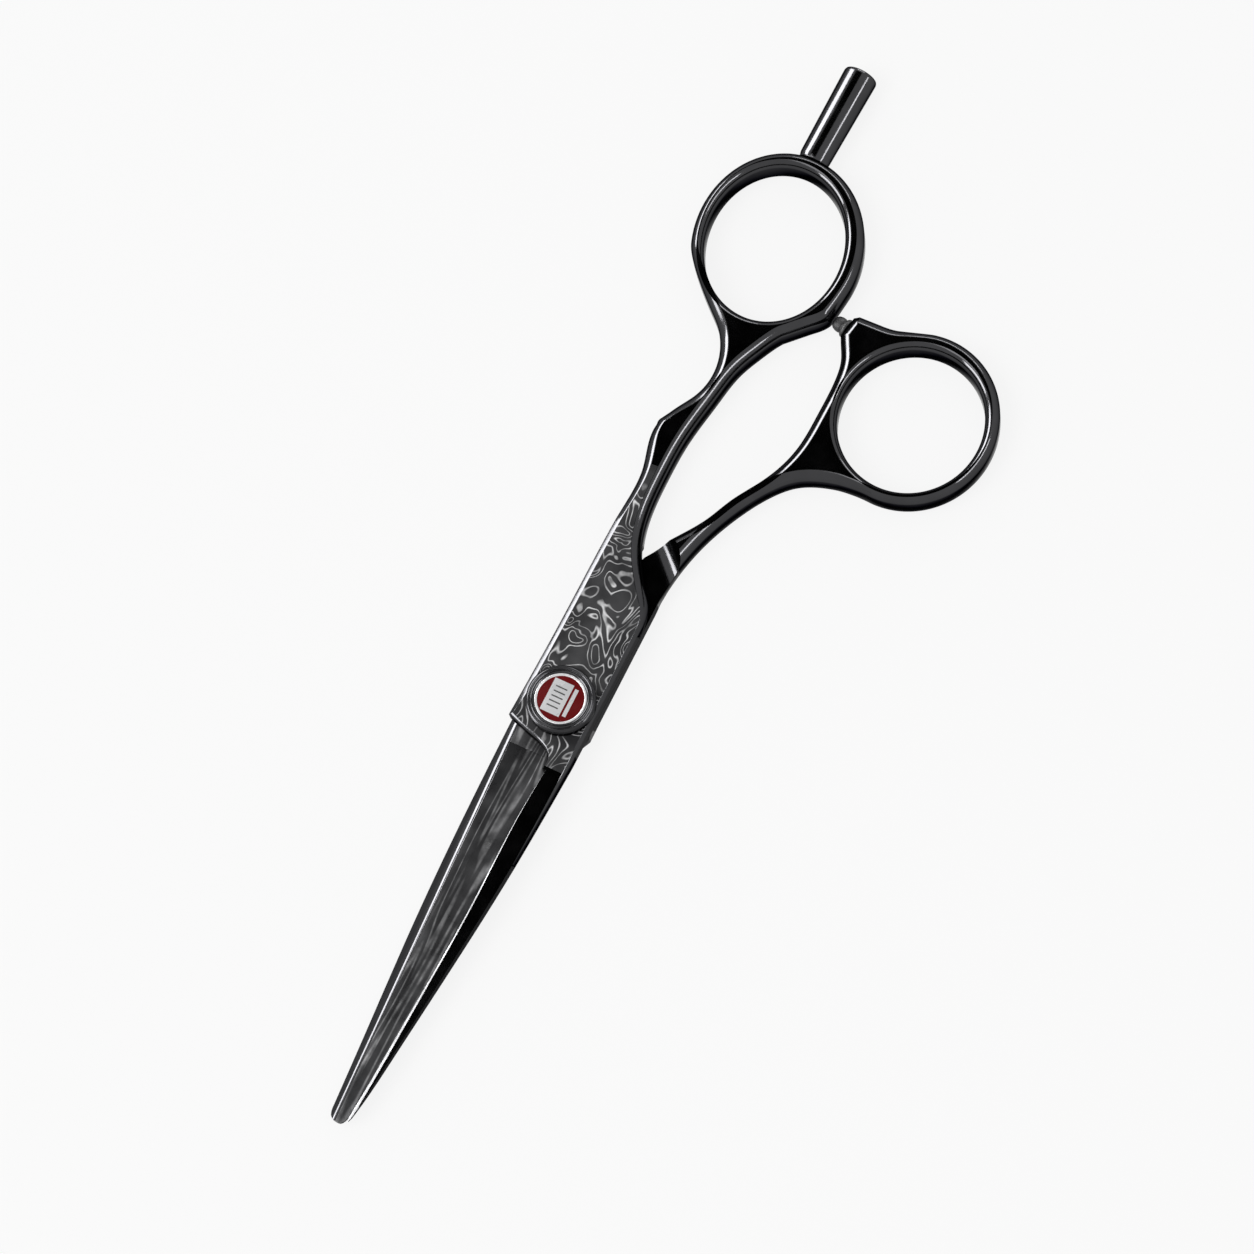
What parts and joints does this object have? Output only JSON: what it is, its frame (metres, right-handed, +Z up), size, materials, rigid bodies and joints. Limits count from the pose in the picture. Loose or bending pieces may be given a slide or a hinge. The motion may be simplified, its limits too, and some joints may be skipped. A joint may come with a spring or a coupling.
{
  "type": "hair cutting shears",
  "caption": "Offset-handle hair cutting shears with patterned black blades, a fixed round finger rest, a red dial tension screw at the pivot and a rubber silencer between the rings.",
  "frame": {"origin": "where the pivot axis meets the plane the shears lie on", "axes": "+Z up the pivot towards the dial, +Y from the pivot towards the rings so that the blades point to -Y, +X towards the thumb ring"},
  "size_m": [0.0529, 0.1668, 0.0073],
  "materials": {
    "black_steel": "glossy black coating",
    "steel": "ground",
    "bush_plastic": "plain",
    "black_rubber": "satin",
    "dark_bolt": "glossy black coating",
    "brass_cage": "plain",
    "dark_dial": "glossy black coating",
    "silver": "polished",
    "red_enamel": "glossy enamel"
  },
  "bodies": {
    "finger_side": {"finger_half": "black_steel", "finger_rest": "black_steel", "rest_stud": "steel", "pivot_sleeve": "bush_plastic", "glide_washer": "bush_plastic", "lower_race": "steel"},
    "thumb_side": {"thumb_half": "black_steel", "bumper_pad": "black_rubber", "bumper_stud": "steel", "pivot_bolt": "dark_bolt", "click_plate": "steel", "dial_retainer": "steel"},
    "cage": {"ball_cage": "brass_cage", "bearing_balls": "steel"},
    "dial": {"tension_dial": "dark_dial", "click_spring": "steel", "dial_bezel": "dark_dial", "dial_trim_ring": "silver", "dial_disc": "red_enamel", "dial_bar": "silver", "dial_plate": "silver"}
  },
  "joints": [
    {"name": "blade_pivot", "type": "hinge", "parent": "finger_side", "child": "thumb_side", "pos_m": [0, 0, 0], "axis": [0, 0, -1], "range_deg": [0, 100]},
    {"name": "cage_turn", "type": "hinge", "parent": "finger_side", "child": "cage", "pos_m": [0, 0, 0.0046], "axis": [0, 0, -1], "range_deg": [0, 50]},
    {"name": "dial_turn", "type": "hinge", "parent": "thumb_side", "child": "dial", "pos_m": [0, 0, 0.006], "axis": [0, 0, 1], "range_deg": [-90, 90]}
  ],
  "couplings": [
    {"joint": "cage_turn", "follows": "blade_pivot", "ratio": 0.5}
  ]
}
